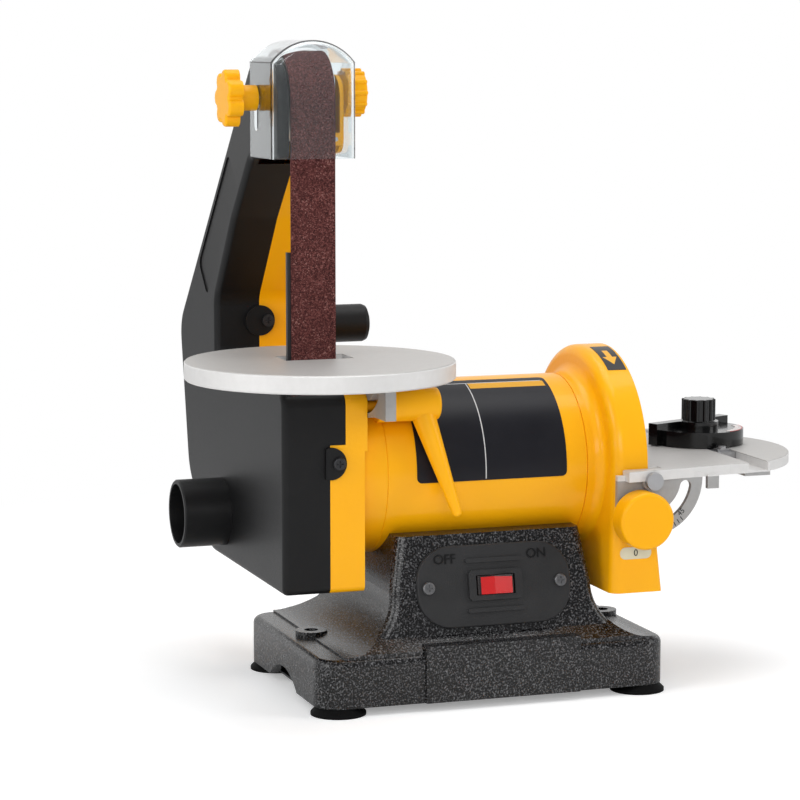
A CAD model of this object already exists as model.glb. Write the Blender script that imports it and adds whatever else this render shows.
# %% [markdown]
# # Bench belt and disc sander
# A small workshop machine: one motor turns a narrow sanding belt on its left end and a sanding disc
# on its right end. The solids come packed as named nodes in metres. This lesson gives them their
# paint, castings, plastics and grain, and models what is soft, wound or printed: the belt, the
# spring, labels, scales and raised letters.

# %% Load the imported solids
import math

import bpy
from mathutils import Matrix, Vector


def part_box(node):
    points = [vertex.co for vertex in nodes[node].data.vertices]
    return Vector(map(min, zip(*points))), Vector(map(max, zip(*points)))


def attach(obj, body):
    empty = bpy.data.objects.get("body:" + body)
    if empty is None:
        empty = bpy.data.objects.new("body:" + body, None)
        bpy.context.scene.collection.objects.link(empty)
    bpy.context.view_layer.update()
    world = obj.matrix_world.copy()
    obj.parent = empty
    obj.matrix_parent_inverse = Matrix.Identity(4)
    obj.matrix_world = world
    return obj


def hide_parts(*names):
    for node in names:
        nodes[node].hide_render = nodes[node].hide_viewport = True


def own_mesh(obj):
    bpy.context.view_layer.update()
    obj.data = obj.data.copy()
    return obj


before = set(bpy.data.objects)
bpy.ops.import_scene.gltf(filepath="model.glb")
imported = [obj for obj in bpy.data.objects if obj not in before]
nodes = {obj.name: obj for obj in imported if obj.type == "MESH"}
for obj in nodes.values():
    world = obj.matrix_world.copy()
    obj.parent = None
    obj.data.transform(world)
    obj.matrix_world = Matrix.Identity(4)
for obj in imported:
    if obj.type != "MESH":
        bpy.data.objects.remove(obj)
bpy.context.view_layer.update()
MM = 0.001
print("solids:", len(nodes))

# %% [markdown]
# ## Camera and light
# The picture was taken with a long lens from the front left and a little above. A camera far away
# with a 126 mm lens keeps the upright edges close to upright. Light comes from big soft boxes,
# because glossy paint mostly shows what it mirrors.

# %% Camera
CAMERA_PLACE = Vector((-0.554, -1.50376, 0.3726))
CAMERA_DOWN = math.radians(7.427)
CAMERA_SIDE = math.radians(19.0)
SENSOR_WIDE = 36
LENS = 126
QUARTER_TURN = math.radians(90)
bpy.ops.object.camera_add(
    location=CAMERA_PLACE, rotation=(QUARTER_TURN - CAMERA_DOWN, 0, -CAMERA_SIDE)
)
camera = bpy.context.object
camera.name = "camera"
camera.data.sensor_width = SENSOR_WIDE
camera.data.lens = LENS
scene = bpy.context.scene
scene.camera = camera
scene.view_settings.view_transform = "Standard"
print("lens in mm:", LENS)

# %% Soft boxes
MIDDLE = Vector((0, 0, 0.17))


def soft_box(name, place, wide, high, watts):
    """A rectangular lamp at a place, turned to face the middle of the machine."""
    bpy.ops.object.light_add(type="AREA", location=place)
    lamp = bpy.context.object
    lamp.name = name
    lamp.rotation_euler = (MIDDLE - Vector(place)).to_track_quat("-Z", "Y").to_euler()
    lamp.data.shape = "RECTANGLE"
    lamp.data.size = wide
    lamp.data.size_y = high
    lamp.data.energy = watts


soft_box("front_box", (-0.5, -1.7, 0.75), wide=1.3, high=0.5, watts=10)
soft_box("left_box", (-1.7, -0.5, 0.9), wide=0.9, high=1.2, watts=14)
soft_box("right_box", (1.6, -0.9, 0.9), wide=0.7, high=1.3, watts=10)
soft_box("top_box", (0.1, 0.1, 1.9), wide=1.6, high=1.2, watts=18)

# %% [markdown]
# ## Background
# The background is white to the camera, through the clear guard, and in whatever mirrors the space
# behind the machine. The room in front stays dim, as in a studio, so black parts look black and
# glossy ones show the soft boxes. The fill light is low, so the paint keeps its own colour.

# %% World
world = bpy.data.worlds.new("studio")
scene.world = world
world.use_nodes = True
sky = world.node_tree
sky.nodes.clear()


def sky_node(kind, *inputs, **settings):
    """A node of the world, with its inputs in order as sockets or plain values."""
    made = sky.nodes.new(kind)
    for key, value in settings.items():
        setattr(made, key, value)
    for slot, value in enumerate(inputs):
        if isinstance(value, bpy.types.NodeSocket):
            sky.links.new(value, made.inputs[slot])
        else:
            made.inputs[slot].default_value = value
    return made


def sky_math(operation, first, second):
    """The result of a Math node of the world."""
    return sky_node("ShaderNodeMath", first, second, operation=operation).outputs[0]


ROOM_LIGHT = 0.3
ROOM_TINT = (0.95, 0.97, 1.0, 1)
WHITE_TINT = (1, 1, 1, 1)
BEHIND_FROM, BEHIND_AT = -0.1, 0.5
path = sky_node("ShaderNodeLightPath").outputs
heading_to = sky_node("ShaderNodeTexCoord").outputs["Generated"]
backwards = sky_node("ShaderNodeSeparateXYZ", heading_to).outputs["Y"]
behind = sky_node("ShaderNodeMapRange", backwards, BEHIND_FROM, BEHIND_AT).outputs[0]
mirrored = sky_math("MULTIPLY", path["Is Glossy Ray"], behind)
through = sky_math("MAXIMUM", path["Is Camera Ray"], path["Is Transmission Ray"])
shown = sky_math("MAXIMUM", through, mirrored)
room = sky_node("ShaderNodeBackground", ROOM_TINT, ROOM_LIGHT).outputs[0]
white = sky_node("ShaderNodeBackground", WHITE_TINT, 1.0).outputs[0]
blend = sky_node("ShaderNodeMixShader", shown, room, white).outputs[0]
sky_node("ShaderNodeOutputWorld", blend)
print("room light:", ROOM_LIGHT)

# %% [markdown]
# ## Writing finishes
# Every finish is a Principled shader with a few patterns in front of it. A small wrapper lets a
# socket be added and multiplied like a number, so a pattern reads as a sum. Patterns use Object
# coordinates, which are real metres here: a noise of scale 1000 has grains of about a millimetre.
# Images could do the same, but a pattern worked out from place has no seams and stays sharp.


# %% A socket that does sums
class Wire:
    """One output socket of a finish, for use in expressions."""

    def __init__(self, finish, socket):
        self.finish = finish
        self.socket = socket

    def math(self, operation, *others):
        """A Math node on this value and any others, in order."""
        return self.finish.math(operation, self, *others)

    def __add__(self, other):
        return self.math("ADD", other)

    __radd__ = __add__

    def __sub__(self, other):
        return self.math("SUBTRACT", other)

    def __rsub__(self, other):
        return self.finish.math("SUBTRACT", other, self)

    def __mul__(self, other):
        return self.math("MULTIPLY", other)

    __rmul__ = __mul__

    def __truediv__(self, other):
        return self.math("DIVIDE", other)

    def __gt__(self, other):
        return self.math("GREATER_THAN", other)

    def __lt__(self, other):
        return self.math("LESS_THAN", other)

    def between(self, low, high):
        """One between two limits, and nought elsewhere."""
        return (self > low) * (self < high)


print("socket sums ready")

# %% A finish
# A Mix node lists its colour sockets after those for numbers and vectors
MIX_SHARE, MIX_FIRST, MIX_SECOND, MIX_RESULT = 0, 6, 7, 2


class Finish:
    """A material built round one Principled shader."""

    def __init__(self, name, **plain):
        self.material = bpy.data.materials.new(name)
        self.material.use_nodes = True
        self.tree = self.material.node_tree
        self.shader = self.tree.nodes["Principled BSDF"]
        self.place = self.node("ShaderNodeTexCoord", {}, {}, "Object")
        self.feed(plain)

    def plug(self, socket, value):
        """Links a wire to a socket, or sets the socket to a plain value."""
        if isinstance(value, Wire):
            self.tree.links.new(value.socket, socket)
        else:
            socket.default_value = value

    def feed(self, values):
        """Plugs values into the inputs of the shader, by name."""
        for name, value in values.items():
            self.plug(self.shader.inputs[name.replace("_", " ")], value)

    def node(self, kind, settings, sockets, out=0):
        """Any node: its settings are set first, then its sockets, and one output comes back."""
        made = self.tree.nodes.new(kind)
        stops = settings.pop("stops", None)
        for key, value in settings.items():
            setattr(made, key, value)
        if stops:
            while len(made.color_ramp.elements) < len(stops):
                made.color_ramp.elements.new(0.5)
            for element, (spot, colour) in zip(made.color_ramp.elements, stops):
                element.position = spot
                element.color = (*colour, 1)
        for key, value in sockets.items():
            self.plug(made.inputs[key], value)
        return Wire(self, made.outputs[out])

    def math(self, operation, *values):
        """A Math node on values, in order."""
        return self.node("ShaderNodeMath", {"operation": operation}, dict(enumerate(values)))

    def axes(self):
        """Place along X, Y and Z, in metres."""
        parts = self.node("ShaderNodeSeparateXYZ", {}, {0: self.place})
        return [Wire(self, s) for s in parts.socket.node.outputs]

    def stretched(self, scale):
        """Place, scaled along each axis by its own factor."""
        return self.node("ShaderNodeMapping", {}, {"Vector": self.place, "Scale": scale})

    def noise(self, scale, detail=2.0, rough=0.5, where=None):
        """A soft random pattern with values from 0 to 1."""
        spot = where or self.place
        sockets = {"Vector": spot, "Scale": scale, "Detail": detail, "Roughness": rough}
        return self.node("ShaderNodeTexNoise", {}, sockets, "Fac")

    def cells(self, scale, out):
        """Voronoi cells: the random Color of each, or the Distance from its centre."""
        return self.node("ShaderNodeTexVoronoi", {}, {"Vector": self.place, "Scale": scale}, out)

    def mix(self, share, first, second):
        """A blend of two colours, all of the second where the share is 1."""
        first, second = [c if isinstance(c, Wire) else (*c, 1) for c in (first, second)]
        sockets = {MIX_SHARE: share, MIX_FIRST: first, MIX_SECOND: second}
        return self.node("ShaderNodeMix", {"data_type": "RGBA"}, sockets, MIX_RESULT)

    def ramp(self, share, *stops):
        """A run of colours, from stops that each hold a share and a colour."""
        return self.node("ShaderNodeValToRGB", {"stops": list(stops)}, {"Fac": share}, "Color")

    def bumped(self, height, depth, strength):
        """Gives the surface the relief of a pattern."""
        sockets = {"Height": height, "Distance": depth, "Strength": strength}
        self.feed({"Normal": self.node("ShaderNodeBump", {}, sockets, "Normal")})


print("finish tools ready")

# %% [markdown]
# ## Yellow enamel
# The motor shell and both castings are sprayed in one warm yellow. Sprayed enamel is never quite
# flat: it dries with a faint orange-peel ripple and is a little uneven in gloss, which a low bump
# and a clear coat give. A ripple in the mesh would need very many faces and show no more.

# %% Yellow enamel and yellow plastic
YELLOW = (0.97, 0.46, 0.002)
YELLOW_DEEP = (0.93, 0.41, 0.0015)


def yellow_finish(name, rough, coat, peel_scale, peel_depth):
    """Warm yellow with a ripple of a given size."""
    finish = Finish(name, Coat_Weight=coat, Coat_Roughness=0.12, Specular_IOR_Level=0.2)
    drift = finish.noise(22, detail=3)
    finish.feed({"Base Color": finish.mix(drift, YELLOW, YELLOW_DEEP)})
    finish.feed({"Roughness": rough + 0.08 * finish.noise(160)})
    finish.bumped(finish.noise(peel_scale), peel_depth, strength=0.35)
    print("finish:", name)
    return finish.material


yellow_enamel = yellow_finish(
    "yellow_enamel", rough=0.3, coat=0.2, peel_scale=520, peel_depth=0.0002
)
yellow_cast = yellow_finish(
    "yellow_cast_enamel", rough=0.33, coat=0.2, peel_scale=380, peel_depth=0.0003
)
yellow_plastic = yellow_finish(
    "yellow_plastic", rough=0.36, coat=0.05, peel_scale=1400, peel_depth=0.0001
)

# %% [markdown]
# ## Wrinkled black
# The cast base wears wrinkle paint. As it dries its skin shrivels into a network of fine folds about
# a millimetre wide: the crests catch the light and look grey, and the valleys stay black. One noise
# gives both the tone and the relief, so the two always agree. The relief is low, so that round
# edges stay shiny.

# %% Wrinkled black
FOLD_SCALE = 950
FOLD_DEPTH = 0.00025
wrinkled = Finish("wrinkled_black", Specular_IOR_Level=0.38)
folds = wrinkled.noise(FOLD_SCALE, detail=2.5)
fold_tone = wrinkled.ramp(
    folds,
    (0.4, (0.0005, 0.0005, 0.0006)),
    (0.5, (0.008, 0.008, 0.0085)),
    (0.6, (0.06, 0.06, 0.062)),
    (0.7, (0.14, 0.14, 0.145)),
)
wrinkled.feed({"Base Color": fold_tone, "Roughness": 0.3 - 0.12 * folds})
wrinkled.bumped(folds, FOLD_DEPTH, strength=0.5)
print("finish:", wrinkled.material.name)

# %% [markdown]
# ## Black plastics
# The belt cover, switch plate and gland are moulded. The mould was spark-eroded, so the skin has a
# fine even grain, and a little dust pales it in places. The grain is too fine to model, so a noise
# bumps the skin. Gloss parts take the same skin with less roughness, and rubber with less shine.

# %% Moulded skins
DUST_SCALE = 60


def moulded_skin(name, rough, scale, depth):
    """A spark-eroded skin that has no colour yet."""
    finish = Finish(name, Specular_IOR_Level=0.22)
    grain = finish.noise(scale, detail=3, rough=0.6)
    finish.feed({"Roughness": rough + 0.12 * grain})
    finish.bumped(grain, depth, strength=0.5)
    print("finish:", name)
    return finish


def grained_black(name, tone, rough, scale, depth):
    """Moulded black of one tone, paler where dust lies."""
    finish = moulded_skin(name, rough, scale, depth)
    clean = (tone, tone, tone * 1.05)
    dusty = (tone * 1.7, tone * 1.7, tone * 1.75)
    finish.feed({"Base Color": finish.mix(finish.noise(DUST_SCALE, detail=4), clean, dusty)})
    return finish


switch_black = grained_black("switch_black", tone=0.018, rough=0.42, scale=1500, depth=0.0002)
gloss_black = grained_black("gloss_black", tone=0.002, rough=0.14, scale=700, depth=0.00005)
gloss_black.feed({"Coat Weight": 0.4})
grip_black = grained_black("grip_black", tone=0.006, rough=0.4, scale=900, depth=0.0002)
rubber = grained_black("foot_rubber", tone=0.002, rough=0.6, scale=800, depth=0.0002)
rubber.feed({"Specular IOR Level": 0.1})

# %% [markdown]
# ## Sunk field on the cover
# The side of the cover has a long sunk field on a slope, and its floor is a shade darker than the
# skin around it. The floor is found in the finish, so the solid stays one piece: by its depth along
# X, and by two measures in its own slope, one along the field and one over it.

# %% Cover black
COVER_CLEAN = (0.004, 0.004, 0.0044)
COVER_DUSTY = (0.007, 0.007, 0.0074)
FIELD_BLACK = (0.002, 0.002, 0.0022)
FIELD_Y, FIELD_Z = 0.079, 0.262
FIELD_HALF_LONG, FIELD_HALF_TALL = 0.048, 0.013
FIELD_SLOPE = math.radians(134.8)
FIELD_FLOOR = (-0.1214, -0.1210)
cover_black = moulded_skin("cover_black", rough=0.36, scale=1300, depth=0.00015)
side_x, side_y, side_z = cover_black.axes()
from_y = side_y - FIELD_Y
from_z = side_z - FIELD_Z
along_field = from_y * math.cos(FIELD_SLOPE) + from_z * math.sin(FIELD_SLOPE)
over_field = from_z * math.cos(FIELD_SLOPE) - from_y * math.sin(FIELD_SLOPE)
in_field = along_field.between(-FIELD_HALF_LONG, FIELD_HALF_LONG)
in_field = in_field * over_field.between(-FIELD_HALF_TALL, FIELD_HALF_TALL)
in_field = in_field * side_x.between(*FIELD_FLOOR)
cover_skin = cover_black.mix(cover_black.noise(DUST_SCALE, detail=4), COVER_CLEAN, COVER_DUSTY)
cover_black.feed({"Base Color": cover_black.mix(in_field, cover_skin, FIELD_BLACK)})

# %% [markdown]
# ## Cast and machined metal
# Both tables are cast aluminium with a ground top. Grinding leaves fine lines one way, so the noise
# is stretched some forty times along X. The edges are left bright, so below the top skin the metal
# is paler. The tables are only part metallic, so that they stay pale in a dim room. Bolts and
# shafts are plain turned steel.

# %% Ground tables
TOP_SKIN = 0.4 * MM
GROUND_LINES = (60, 2600, 2600)
CAST_SCALE = 240


def metal_grain(finish, lines):
    """Tool lines, the grain of the casting, and a blend of the two."""
    tool = finish.noise(1, detail=3, rough=0.65, where=finish.stretched(lines))
    cast = finish.noise(CAST_SCALE, detail=4, rough=0.6)
    return tool, cast, 0.55 * tool + 0.45 * cast


def table_metal(name, top, thick):
    """Ground aluminium with a bright rim; what hangs below the plate is duller cast metal."""
    finish = Finish(name, Metallic=0.4)
    tool, cast, both = metal_grain(finish, GROUND_LINES)
    ground = finish.mix(both, (0.44, 0.425, 0.41), (0.56, 0.545, 0.525))
    edge = finish.mix(cast, (0.66, 0.65, 0.635), (0.74, 0.73, 0.72))
    dull = finish.mix(cast, (0.33, 0.325, 0.32), (0.42, 0.415, 0.41))
    height = finish.axes()[2]
    plate = finish.mix(height < top - TOP_SKIN, ground, edge)
    finish.feed({"Base Color": finish.mix(height < top - thick, plate, dull)})
    finish.feed({"Roughness": 0.42 + 0.16 * tool})
    finish.bumped(tool + 0.4 * cast, depth=0.00008, strength=0.35)
    print("finish:", name)
    return finish.material


belt_table_metal = table_metal("belt_table_aluminium", top=197.5 * MM, thick=10 * MM)
disc_table_metal = table_metal("disc_table_aluminium", top=129 * MM, thick=6 * MM)


# %% Bare metals
def bare_metal(name, colour, rough, lines, depth, metallic=1.0):
    """Metal with fine tool lines, or an even grain where the three factors of lines are equal."""
    finish = Finish(name, Metallic=metallic)
    tool, cast, both = metal_grain(finish, lines)
    dark = tuple(c * 0.8 for c in colour)
    finish.feed({"Base Color": finish.mix(both, dark, colour)})
    finish.feed({"Roughness": rough + 0.16 * tool})
    finish.bumped(tool + 0.4 * cast, depth, strength=0.35)
    print("finish:", name)
    return finish.material


FINE, COARSE = 0.00005, 0.0002
EVEN = (900, 900, 900)
turned_metal = bare_metal(
    "turned_aluminium", (0.7, 0.7, 0.7), rough=0.3, lines=(2600, 60, 60), depth=0.00006
)
steel = bare_metal(
    "turned_steel", (0.5, 0.5, 0.51), rough=0.28, lines=(2200, 200, 200), depth=FINE
)
zinc_steel = bare_metal(
    "passivated_steel", (0.17, 0.17, 0.175), rough=0.3, lines=EVEN, depth=FINE, metallic=0.85
)
dark_steel = bare_metal(
    "black_oxide_steel", (0.035, 0.035, 0.038), rough=0.34, lines=EVEN, depth=FINE, metallic=0.6
)
core_steel = bare_metal(
    "core_laminations", (0.26, 0.26, 0.27), rough=0.4, lines=(3500, 40, 40), depth=COARSE
)
copper = bare_metal(
    "enamelled_copper", (0.66, 0.26, 0.1), rough=0.3, lines=(2000, 300, 300), depth=COARSE
)
can_metal = bare_metal(
    "capacitor_can", (0.7, 0.7, 0.68), rough=0.35, lines=(40, 900, 900), depth=FINE
)

# %% [markdown]
# ## Abrasive grain
# Belt and disc carry brown aluminium-oxide grit on a cloth or paper back. The grit is a crowd of
# half-millimetre grains, each a slightly different brown, with a few pale sparkles. They are far
# too many to model, so Voronoi cells give each grain its own tone and height. Two crossed waves
# make the weave of the cloth.

# %% Abrasive and its cloth back
GRAIN_SCALE = 1700
grit = Finish("brown_grit", Roughness=0.8, Specular_IOR_Level=0.2)
grains = grit.cells(GRAIN_SCALE, "Color")
shade = grit.node("ShaderNodeSeparateColor", {}, {"Color": grains})
patches = grit.noise(90, detail=3)
browns = grit.ramp(
    0.75 * shade + 0.25 * patches,
    (0.1, (0.03, 0.006, 0.006)),
    (0.45, (0.075, 0.019, 0.017)),
    (0.8, (0.16, 0.05, 0.045)),
    (0.95, (0.34, 0.17, 0.15)),
)
grit.feed({"Base Color": browns})
grit.bumped(grit.cells(GRAIN_SCALE, "Distance") + 0.4 * shade, depth=0.0004, strength=0.8)

WEAVE_SCALE = 260
cloth = Finish("belt_cloth", Roughness=0.85)
strands = {"Vector": cloth.place, "Scale": WEAVE_SCALE}
weft = cloth.node("ShaderNodeTexWave", {"bands_direction": "Z"}, strands, "Fac")
warp = cloth.node("ShaderNodeTexWave", {"bands_direction": "X"}, strands, "Fac")
threads = weft * warp
cloth.feed({"Base Color": cloth.mix(threads, (0.16, 0.075, 0.04), (0.3, 0.16, 0.09))})
cloth.bumped(threads, depth=0.0001, strength=0.6)
print("finishes:", grit.material.name, cloth.material.name)

# %% [markdown]
# ## Clear guard and red rocker
# The hood over the top wheel is clear polycarbonate with a faint blue cast. A real pane is thin
# glass to the renderer: full transmission, an index of about 1.5 and almost no roughness. Alpha
# would be simpler, but it bends no light, and the edges of the pane would not show. The rocker is a
# red lens in a dark rim, so its colour changes near the edge.

# %% Clear plastic and red rocker
pane = Finish("clear_polycarbonate", Transmission_Weight=1.0, IOR=1.46)
scuff = pane.noise(45, detail=4, rough=0.6)
pane.feed({"Base Color": pane.mix(scuff, (0.93, 0.965, 0.975), (0.87, 0.925, 0.945))})
pane.feed({"Roughness": 0.03 + 0.06 * scuff})

LENS_SHARE = 0.82
RIM_DARK = (0.012, 0.008, 0.008)
red = Finish("red_rocker", Coat_Weight=0.5, Coat_Roughness=0.08, Emission_Strength=0.05)
rocker_low, rocker_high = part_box("switch_rocker")
rocker_middle = (rocker_low + rocker_high) / 2
lens_half = (rocker_high - rocker_low) / 2 * LENS_SHARE
rocker_x, _, rocker_z = red.axes()
in_lens = (rocker_x - rocker_middle.x).between(-lens_half.x, lens_half.x)
in_lens = in_lens * (rocker_z - rocker_middle.z).between(-lens_half.z, lens_half.z)
glow = red.noise(70)
lens = red.mix(glow, (0.6, 0.012, 0.012), (0.42, 0.006, 0.008))
rocker_skin = red.mix(in_lens, RIM_DARK, lens)
red.feed({"Base Color": rocker_skin, "Emission Color": rocker_skin, "Roughness": 0.16 + 0.06 * glow})
print("finishes:", pane.material.name, red.material.name)

# %% [markdown]
# ## Film on the motor
# A dark film is wrapped on the front of the motor. A thin pale rule parts it into two columns, a
# yellow band heads one of them, and a fine pale line runs above the band. An image on a UV map could
# hold this, but X and the angle round the shaft place it without one, and the print follows the
# round of the motor.

# %% Motor film
DEGREES = 180 / math.pi
SHAFT_Z = sum(v.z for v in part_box("motor_housing")) / 2
RULE_X = -0.002
RULE_HALF = 0.0003
RULE_ARC = (108, 183)
BAND_ARC = (108, 115)
BAND_FROM_RULE, BAND_FROM_END = 0.001, 0.002
TOP_LINE_ARC = (107.2, 107.9)
TOP_LINE_FROM_END = 0.003
panel_low, panel_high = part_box("rating_panel")
film = Finish("panel_film", Specular_IOR_Level=0.2)
film_x, film_y, film_z = film.axes()
around = (film_z - SHAFT_Z).math("ARCTAN2", film_y) * DEGREES
around = around + 360 * (around < 0)
band = film_x.between(RULE_X + BAND_FROM_RULE, panel_high.x - BAND_FROM_END)
band = band * around.between(*BAND_ARC)
rule = film_x.between(RULE_X - RULE_HALF, RULE_X + RULE_HALF) * around.between(*RULE_ARC)
top_line = film_x.between(panel_low.x + TOP_LINE_FROM_END, panel_high.x - TOP_LINE_FROM_END)
top_line = top_line * around.between(*TOP_LINE_ARC)
smudge = film.noise(50, detail=4)
dark = film.mix(smudge, (0.006, 0.006, 0.009), (0.012, 0.012, 0.016))
ruled = film.mix(rule + top_line, dark, (0.6, 0.6, 0.6))
film.feed({"Base Color": film.mix(band, ruled, (0.72, 0.36, 0.02))})
film.feed({"Roughness": 0.3 + 0.1 * smudge})
print("shaft height in mm:", round(SHAFT_Z / MM, 1))

# %% [markdown]
# ## Dressing the solids
# Each solid now takes the finish of its real counterpart. One table from finish to solids is easy to
# check, and what it doesn't list is plain steel.

# %% Hand out the finishes
dressing = {
    yellow_enamel: ["motor_housing"],
    yellow_cast: ["belt_frame", "disc_guard"],
    yellow_plastic: ["guard_knob", "tracking_knob", "table_lock_lever", "disc_table_knob"],
    wrinkled.material: ["base"],
    cover_black.material: ["belt_cover", "cord_gland"],
    switch_black.material: ["switch_plate", "switch_housing"],
    gloss_black.material: ["mitre_head", "mitre_knob"],
    grip_black.material: ["tension_grip"],
    rubber.material: ["rubber_feet"],
    belt_table_metal: ["belt_table"],
    disc_table_metal: ["disc_table"],
    turned_metal: ["disc_plate", "drive_wheel", "top_wheel", "tension_wheel"],
    zinc_steel: ["switch_plate_screws"],
    dark_steel: ["cover_screws", "platen", "platen_screws", "tension_arm", "base_plate"],
    core_steel: ["stator_core", "rotor_core"],
    copper: ["stator_windings"],
    can_metal: ["run_capacitor"],
    grit.material: ["abrasive_disc"],
    pane.material: ["clear_guard"],
    red.material: ["switch_rocker"],
    film.material: ["rating_panel"],
}
finish_of = {node: finish for finish, group in dressing.items() for node in group}
for node, solid in nodes.items():
    solid.data.materials.clear()
    solid.data.materials.append(finish_of.get(node, steel))
print("dressed:", len(nodes))

# %% [markdown]
# ## Modelling by hand
# The next pieces start from a primitive at its real size and place, and are shaped in edit mode.
# Operators act on all that is selected, so each piece starts with nothing selected.

# %% Small modelling helpers
SMOOTH_BELOW = math.radians(40)


def fresh():
    """Deselects everything."""
    bpy.ops.object.select_all(action="DESELECT")


def join(pieces):
    """Joins pieces into the first of them, with their places in its mesh."""
    fresh()
    for piece in pieces:
        piece.select_set(True)
    bpy.context.view_layer.objects.active = pieces[0]
    bpy.ops.object.join()
    bpy.ops.object.transform_apply(location=True, rotation=True, scale=True)
    return pieces[0]


def pick_faces(piece, wanted):
    """Selects the faces whose centre and normal pass a test, in edit mode."""
    bpy.ops.object.mode_set(mode="EDIT")
    bpy.ops.mesh.select_mode(type="FACE")
    bpy.ops.mesh.select_all(action="DESELECT")
    bpy.ops.object.mode_set(mode="OBJECT")
    for face in piece.data.polygons:
        face.select = wanted(face.center, face.normal)
    bpy.ops.object.mode_set(mode="EDIT")


def use_modifier(piece, kind, **settings):
    """Adds a modifier and applies it."""
    modifier = piece.modifiers.new(kind.title(), kind)
    for key, value in settings.items():
        setattr(modifier, key, value)
    bpy.context.view_layer.objects.active = piece
    bpy.ops.object.modifier_apply(modifier=modifier.name)


def settle(piece, name, body, slot, *materials):
    """Names a finished piece, leaves its place in its mesh, and fixes it to a body."""
    piece.name = name
    fresh()
    piece.select_set(True)
    bpy.context.view_layer.objects.active = piece
    bpy.ops.object.transform_apply(location=True, rotation=True, scale=True)
    bpy.ops.object.shade_smooth_by_angle(angle=SMOOTH_BELOW)
    piece.data.materials.clear()
    for material in materials:
        piece.data.materials.append(material)
    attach(piece, body)
    print(name, "faces:", len(piece.data.polygons))


print("modelling helpers ready")

# %% [markdown]
# ## The sanding belt
# The belt is an endless cloth band, 25.4 mm wide and 762 mm round, stretched over three wheels. It
# could be swept along a path, but then each point where it leaves a wheel has to be worked out.
# Instead, three drums a little larger than the wheels are joined and wrapped in their convex hull,
# which is just the way a tight band lies. The flat ends are deleted and the band gets its thickness.

# %% Sanding belt
BELT_THICK = 1.0 * MM
WHEEL_GAPS = {"drive_wheel": 0.4 * MM, "tension_wheel": 0.4 * MM, "top_wheel": 0.6 * MM}
DRUM_SIDES = 128
END_FACING = 0.9
MERGE_WITHIN = 0.00001
belt_low, belt_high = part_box("abrasive_belt")
drums = []
for wheel, gap in WHEEL_GAPS.items():
    low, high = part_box(wheel)
    fresh()
    bpy.ops.mesh.primitive_cylinder_add(
        vertices=DRUM_SIDES,
        radius=(high.z - low.z) / 2 + gap,
        depth=belt_high.x - belt_low.x,
        location=((belt_low.x + belt_high.x) / 2, (low.y + high.y) / 2, (low.z + high.z) / 2),
        rotation=(0, QUARTER_TURN, 0),
    )
    drums.append(bpy.context.object)
belt = join(drums)
bpy.ops.object.mode_set(mode="EDIT")
bpy.ops.mesh.select_all(action="SELECT")
bpy.ops.mesh.convex_hull()
bpy.ops.object.mode_set(mode="OBJECT")
pick_faces(belt, lambda centre, normal: abs(normal.x) > END_FACING)
bpy.ops.mesh.delete(type="FACE")
bpy.ops.mesh.select_all(action="SELECT")
bpy.ops.mesh.remove_doubles(threshold=MERGE_WITHIN)
bpy.ops.mesh.normals_make_consistent(inside=False)
bpy.ops.object.mode_set(mode="OBJECT")
belt.data.materials.clear()
belt.data.materials.append(grit.material)
belt.data.materials.append(cloth.material)
use_modifier(
    belt, "SOLIDIFY", thickness=BELT_THICK, offset=1, material_offset=1, material_offset_rim=1
)
settle(belt, "sanding_belt", "stand", "abrasive", grit.material, cloth.material)
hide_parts("abrasive_belt")

# %% [markdown]
# ## Tension spring
# A push spring between a post of the frame and the tension arm keeps the belt tight. A round curve
# could make it, but a Screw modifier gives an even mesh at once: it sweeps a small ring round the
# spring's axis, six turns long, and a closed turn caps each end. When the grip is pushed the spring
# shortens, so the piece is told to flatten with that joint.

# %% Spring
WIRE = 0.9 * MM
WIRE_SIDES = 12
TURNS = 6
TURN_STEPS = 36
spring_low, spring_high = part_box("tension_spring")
coil_radius = (spring_high.x - spring_low.x) / 2 - WIRE
coil_x = (spring_high.x + spring_low.x) / 2
coil_z = (spring_high.z + spring_low.z) / 2
pitch = (spring_high.y - spring_low.y - 2 * WIRE) / TURNS
fresh()
bpy.ops.mesh.primitive_circle_add(vertices=WIRE_SIDES, radius=WIRE, location=(coil_radius, 0, 0))
helix = bpy.context.object
bpy.ops.object.transform_apply(location=True)
use_modifier(
    helix,
    "SCREW",
    axis="Y",
    angle=math.tau,
    screw_offset=pitch,
    iterations=TURNS,
    steps=TURN_STEPS,
    render_steps=TURN_STEPS,
)
helix.location = (coil_x, spring_low.y + WIRE, coil_z)
bpy.ops.object.transform_apply(location=True)
coils = [helix]
for end_y in (spring_low.y + WIRE, spring_high.y - WIRE):
    fresh()
    bpy.ops.mesh.primitive_torus_add(
        location=(coil_x, end_y, coil_z),
        rotation=(QUARTER_TURN, 0, 0),
        major_segments=TURN_STEPS,
        minor_segments=WIRE_SIDES,
        major_radius=coil_radius,
        minor_radius=WIRE,
    )
    coils.append(bpy.context.object)
spring = join(coils)
bpy.ops.object.mode_set(mode="EDIT")
bpy.ops.mesh.select_all(action="SELECT")
bpy.ops.mesh.normals_make_consistent(inside=False)
bpy.ops.object.mode_set(mode="OBJECT")
settle(spring, "wound_spring", "stand", "steel", steel)
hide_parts("tension_spring")
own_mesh(spring)

# %% [markdown]
# ## Letters, labels and scales
# The switch plate has OFF and ON moulded on it. A small film with a nought sits on the dust skirt,
# the table's quadrant has a stamped scale, an arrow film on the guard shows which way the disc turns,
# and the mitre gauge carries a printed ring of degrees. All are thin, but they are real pieces, and
# text is made a mesh at once, so that it is placed and fixed as any other piece is.

# %% Finishes of the labels
ink = grained_black("black_ink", tone=0.004, rough=0.3, scale=900, depth=0.00002)

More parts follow.
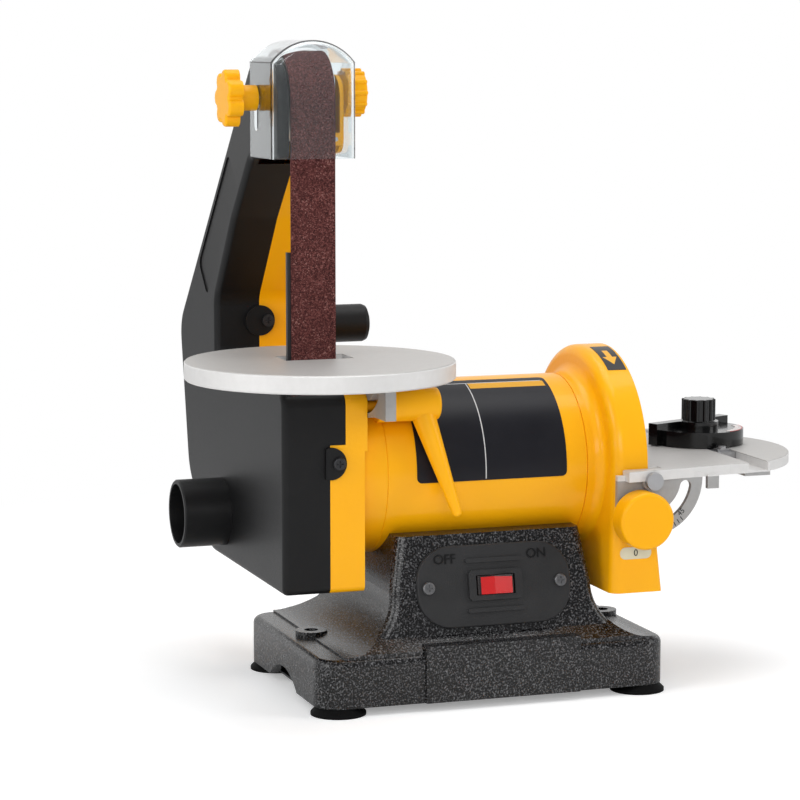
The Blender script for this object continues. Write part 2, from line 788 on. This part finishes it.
pale_film = Finish("pale_film", Coat_Weight=0.2, Specular_IOR_Level=0.4)
ageing = pale_film.noise(180, detail=3)
pale_film.feed({"Base Color": pale_film.mix(ageing, (0.68, 0.66, 0.5), (0.6, 0.57, 0.4))})
pale_film.feed({"Roughness": 0.34 + 0.1 * ageing})
print("finish:", pale_film.material.name)


# %% Switch letters
def lettering(words, place, turn, tall, raised):
    """Words as a solid mesh, centred on a place and turned to face outwards."""
    fresh()
    bpy.ops.object.text_add(location=place, rotation=turn)
    text = bpy.context.object
    text.data.body = words
    text.data.size = tall
    text.data.extrude = raised / 2
    text.data.align_x = "CENTER"
    text.data.align_y = "CENTER"
    bpy.ops.object.convert(target="MESH")
    return bpy.context.object


PLATE_MIDDLE = Vector((0, -0.0558, 0.066))
PLATE_LEAN = math.atan(0.2)
PLATE_SKIN = 2.6 * MM
SWITCH_TALL = 7.6 * MM
SWITCH_RAISED = 0.8 * MM
SWITCH_WORDS = {"OFF": (-0.029, 0.0155), "ON": (0.026, 0.016)}
plate_up = Vector((0, math.sin(PLATE_LEAN), math.cos(PLATE_LEAN)))
plate_out = Vector((0, -math.cos(PLATE_LEAN), math.sin(PLATE_LEAN)))
plate_turn = (QUARTER_TURN - PLATE_LEAN, 0, 0)
for words, (right, up) in SWITCH_WORDS.items():
    spot = PLATE_MIDDLE + Vector((right, 0, 0)) + plate_up * up + plate_out * PLATE_SKIN
    letters = lettering(words, spot, plate_turn, SWITCH_TALL, SWITCH_RAISED)
    settle(letters, "switch_letters_" + words.lower(), "stand", "black_plastic", ink.material)


# %% Nought label on the skirt
def rounded_plate(place, size, round_by, steps):
    """A thin plate that faces forwards, with its four corners rounded."""
    fresh()
    bpy.ops.mesh.primitive_cube_add(size=1, location=place)
    plate = bpy.context.object
    plate.scale = size
    bpy.ops.object.transform_apply(location=True, scale=True)
    bpy.ops.object.mode_set(mode="EDIT")
    bpy.ops.mesh.select_mode(type="EDGE")
    bpy.ops.mesh.select_all(action="DESELECT")
    bpy.ops.object.mode_set(mode="OBJECT")
    points = plate.data.vertices
    for edge in plate.data.edges:
        first, second = [points[i].co for i in edge.vertices]
        edge.select = abs(first.y - second.y) > size[1] / 2
    bpy.ops.object.mode_set(mode="EDIT")
    bpy.ops.mesh.bevel(offset=round_by, segments=steps, affect="EDGES")
    bpy.ops.object.mode_set(mode="OBJECT")
    return plate


LABEL_X, LABEL_SKIN, LABEL_Z = 0.083, -65.35 * MM, 0.0806
LABEL_WIDE, LABEL_THICK, LABEL_TALL = 19.2 * MM, 0.4 * MM, 6.9 * MM
LABEL_ROUND = LABEL_TALL / 2.1
LABEL_STEPS = 10
NOUGHT_TALL = 5.4 * MM
PRINT_RAISED = 0.2 * MM
label_place = (LABEL_X, LABEL_SKIN, LABEL_Z)
label = rounded_plate(label_place, (LABEL_WIDE, LABEL_THICK, LABEL_TALL), LABEL_ROUND, LABEL_STEPS)
settle(label, "nought_label", "stand", "panel_film", pale_film.material)
nought_place = (LABEL_X, LABEL_SKIN - LABEL_THICK / 2, LABEL_Z)
nought = lettering("0", nought_place, (QUARTER_TURN, 0, 0), NOUGHT_TALL, PRINT_RAISED)
settle(nought, "nought_print", "stand", "panel_film", ink.material)

# %% [markdown]
# ## Stamped scale on the quadrant
# A number and four short marks stand on the face of the table's quadrant. One mark is modelled at
# its distance from the origin and copied, and each copy is then turned about the table's pivot.

# %% Number and marks
PIVOT = Vector((0.0896, 0, 0.1229))
QUADRANT_FRONT = -69.6 * MM
NUMBER_PLACE = (0.109, QUADRANT_FRONT, 0.1034)
NUMBER_TURN = (QUARTER_TURN, math.radians(-45), 0)
NUMBER_TALL = 4.4 * MM
TICKS = 4
TICK_FIRST, TICK_STEP = 49.5, 4.9
TICK_REACH = 30.3 * MM
TICK_SIZE = (2.6 * MM, 0.2 * MM, 0.5 * MM)
TICK_ROUND = 0.12 * MM
TICK_ROUND_STEPS = 2
number = lettering("45", NUMBER_PLACE, NUMBER_TURN, NUMBER_TALL, PRINT_RAISED)
settle(number, "quadrant_number", "side_table", "panel_film", ink.material)
ticks = [rounded_plate((TICK_REACH, 0, 0), TICK_SIZE, TICK_ROUND, TICK_ROUND_STEPS)]
while len(ticks) < TICKS:
    bpy.ops.object.duplicate()
    ticks.append(bpy.context.object)
for count, tick in enumerate(ticks):
    tick.rotation_euler = (0, math.radians(TICK_FIRST + TICK_STEP * count), 0)
    tick.location = (PIVOT.x, QUADRANT_FRONT, PIVOT.z)
    settle(tick, f"quadrant_tick_{count}", "side_table", "panel_film", ink.material)

# %% [markdown]
# ## Arrow film on the guard
# The film lies on the round of the disc guard. A thin drum of the guard's radius is cut down to the
# film's arc. The arrow is printed, so it is drawn in the finish, in the film's own two measures: along
# the shaft, and the angle round it.

# %% Arrow print
ARROW_MIDDLE = 83 * MM
ARROW_TOP, ARROW_NECK, ARROW_TIP = 105, 112.5, 119.5
STEM_HALF = 1.7 * MM
HEAD_HALF = 4.4 * MM
ARROW_YELLOW = (0.86, 0.42, 0.02)
arrow_film = Finish("arrow_film", Specular_IOR_Level=0.45)
arrow_x, arrow_y, arrow_z = arrow_film.axes()
swing = (arrow_z - SHAFT_Z).math("ARCTAN2", arrow_y) * DEGREES
off_middle = (arrow_x - ARROW_MIDDLE).math("ABSOLUTE")
stem = swing.between(ARROW_TOP, ARROW_NECK) * (off_middle < STEM_HALF)
head_edge = (ARROW_TIP - swing) * (HEAD_HALF / (ARROW_TIP - ARROW_NECK))
head = swing.between(ARROW_NECK, ARROW_TIP) * (off_middle < head_edge)
film_wear = arrow_film.noise(120, detail=3)
film_black = arrow_film.mix(film_wear, (0.005, 0.005, 0.006), (0.012, 0.012, 0.014))
arrow_film.feed({"Base Color": arrow_film.mix(stem + head, film_black, ARROW_YELLOW)})
arrow_film.feed({"Roughness": 0.3 + 0.12 * film_wear})
print("finish:", arrow_film.material.name)

# %% Arrow film
RIM_RADIUS = 65.2 * MM
FILM_LIFT = 0.05 * MM
FILM_SIDES = 360
FILM_ARC = (98, 124.5)
FILM_WIDE = 11.4 * MM
FILM_THICK = 0.15 * MM
DRUM_END_FACING = 0.5


def off_the_film(centre, normal):
    """Whether a face of the drum is an end, or lies outside the film's arc."""
    around_shaft = math.degrees(math.atan2(centre.z - SHAFT_Z, centre.y))
    return abs(normal.x) > DRUM_END_FACING or not FILM_ARC[0] < around_shaft < FILM_ARC[1]


fresh()
bpy.ops.mesh.primitive_cylinder_add(
    vertices=FILM_SIDES,
    radius=RIM_RADIUS + FILM_LIFT,
    depth=FILM_WIDE,
    location=(ARROW_MIDDLE, 0, SHAFT_Z),
    rotation=(0, QUARTER_TURN, 0),
)
sticker = bpy.context.object
bpy.ops.object.transform_apply(location=True, rotation=True)
pick_faces(sticker, off_the_film)
bpy.ops.mesh.delete(type="FACE")
bpy.ops.object.mode_set(mode="OBJECT")
use_modifier(sticker, "SOLIDIFY", thickness=FILM_THICK, offset=1)
settle(sticker, "arrow_film", "stand", "panel_film", arrow_film.material)

# %% [markdown]
# ## Printed ring on the mitre gauge
# A pale ring of degrees lies on the front right of the gauge's round head. A filled circle is inset
# once, which leaves a ring, and all but the printed sector is deleted. The marks repeat every five
# degrees, so the finish draws them from the angle and the radius.

# %% Ring print
GAUGE = Vector((0.1596, 0.017, 0))
RING_OUT = 26.4 * MM
MARK_EVERY = 5
MARK_SHARE = 0.16
MARK_LONG = 2.4 * MM
RED_EDGE_WIDE = 0.7 * MM
ring_print = Finish("ring_print", Roughness=0.35, Coat_Weight=0.2)
ring_x, ring_y, _ = ring_print.axes()
ring_right = ring_x - GAUGE.x
ring_back = ring_y - GAUGE.y
bearing = ring_back.math("ARCTAN2", ring_right) * DEGREES
beat = ((bearing + 360) / MARK_EVERY).math("FRACT")
reach = (ring_right * ring_right + ring_back * ring_back).math("SQRT")
marks = (beat < MARK_SHARE) * (reach > RING_OUT - MARK_LONG)
red_edge = reach > RING_OUT - RED_EDGE_WIDE
paper_tone = ring_print.mix(ring_print.noise(300), (0.75, 0.7, 0.68), (0.68, 0.58, 0.56))
printed = ring_print.mix(marks, paper_tone, (0.02, 0.02, 0.02))
ring_print.feed({"Base Color": ring_print.mix(red_edge, printed, (0.5, 0.04, 0.04))})
print("finish:", ring_print.material.name)

# %% Printed ring
RING_TOP = 138.5 * MM
RING_WIDE = 4.4 * MM
RING_THICK = 0.2 * MM
RING_SIDES = 240
SECTOR = (-67, 0)


def off_the_sector(centre, normal):
    """Whether a face is the disc's middle, or lies outside the printed sector."""
    spoke = centre - Vector((GAUGE.x, GAUGE.y, centre.z))
    spoke_angle = math.degrees(math.atan2(spoke.y, spoke.x))
    return spoke.length < RING_OUT - RING_WIDE or not SECTOR[0] < spoke_angle < SECTOR[1]


fresh()
bpy.ops.mesh.primitive_circle_add(
    vertices=RING_SIDES, radius=RING_OUT, fill_type="NGON", location=(GAUGE.x, GAUGE.y, RING_TOP)
)
ring = bpy.context.object
bpy.ops.object.transform_apply(location=True)
pick_faces(ring, lambda centre, normal: True)
bpy.ops.mesh.inset(thickness=RING_WIDE)
bpy.ops.object.mode_set(mode="OBJECT")
pick_faces(ring, off_the_sector)
bpy.ops.mesh.delete(type="FACE")
bpy.ops.object.mode_set(mode="OBJECT")
use_modifier(ring, "SOLIDIFY", thickness=RING_THICK, offset=1)
settle(ring, "printed_ring", "mitre_fence", "panel_film", ring_print.material)

# %% [markdown]
# ## Stage
# A wide pale floor carries the soft shadow. What the camera sees of it gets a little glow of its own,
# and further off it turns into the white of the background, so no edge shows. Neither lights the
# machine.

# %% Floor
FLOOR_WIDE = 8
FLOOR_GLOW = 0.3
WHITE_FROM = 0.35
WHITE_AT = 0.7
fresh()
bpy.ops.mesh.primitive_plane_add(size=FLOOR_WIDE, location=(0, 0, 0))
floor = bpy.context.object
floor.name = "floor"
paper = Finish("floor_paper", Roughness=0.9, Specular_IOR_Level=0.0)
paper.feed({"Base Color": paper.mix(paper.noise(3), (0.93, 0.93, 0.93), (0.95, 0.95, 0.95))})
by_camera = paper.node("ShaderNodeLightPath", {}, {}, "Is Camera Ray")
through_pane = paper.node("ShaderNodeLightPath", {}, {}, "Is Transmission Ray")
looked = by_camera.math("MAXIMUM", through_pane)
floor_x, floor_y, _ = paper.axes()
from_machine = (floor_x * floor_x + floor_y * floor_y).math("SQRT")
far = paper.node("ShaderNodeMapRange", {}, {0: from_machine, 1: WHITE_FROM, 2: WHITE_AT})
unlit, faint, bright = [
    paper.node("ShaderNodeEmission", {}, {"Strength": strength}) for strength in (0.0, FLOOR_GLOW, 1.0)
]
glowing = paper.node("ShaderNodeMixShader", {}, {0: looked, 1: unlit, 2: faint})
lit = paper.node("ShaderNodeAddShader", {}, {0: Wire(paper, paper.shader.outputs[0]), 1: glowing})
faded = paper.node("ShaderNodeMixShader", {}, {0: looked * far, 1: lit, 2: bright})
paper.plug(paper.tree.nodes["Material Output"].inputs["Surface"], faded)
floor.data.materials.append(paper.material)
print("floor in m:", FLOOR_WIDE)
